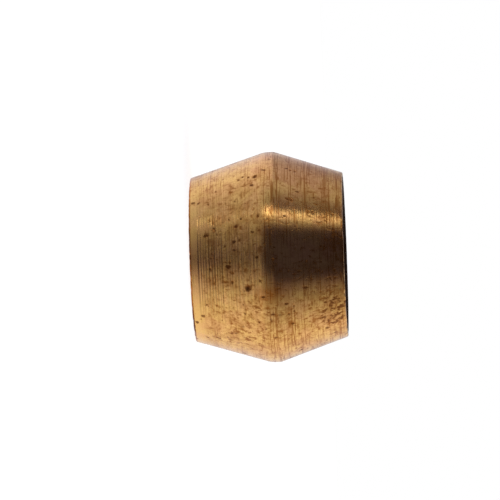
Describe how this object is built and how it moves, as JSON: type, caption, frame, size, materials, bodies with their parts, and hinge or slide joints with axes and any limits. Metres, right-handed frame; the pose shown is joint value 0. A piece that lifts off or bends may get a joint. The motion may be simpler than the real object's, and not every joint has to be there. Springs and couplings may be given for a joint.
{
  "type": "compression olive",
  "caption": "Turned brass ring with a plain bore and an outside that tapers from a narrow crest to both ends; a compression nut squeezes it onto a tube to seal the joint.",
  "frame": {"origin": "on the bore's axis, in the plane of the lower end face", "axes": "+Z along the bore, from the lower end to the upper end; X and Y are free, because the ring is round"},
  "size_m": [0.0112, 0.0112, 0.0081],
  "materials": {
    "brass": "turned, with brown tarnish and small pits"
  },
  "bodies": {
    "root": {"olive": "brass"}
  },
  "joints": []
}
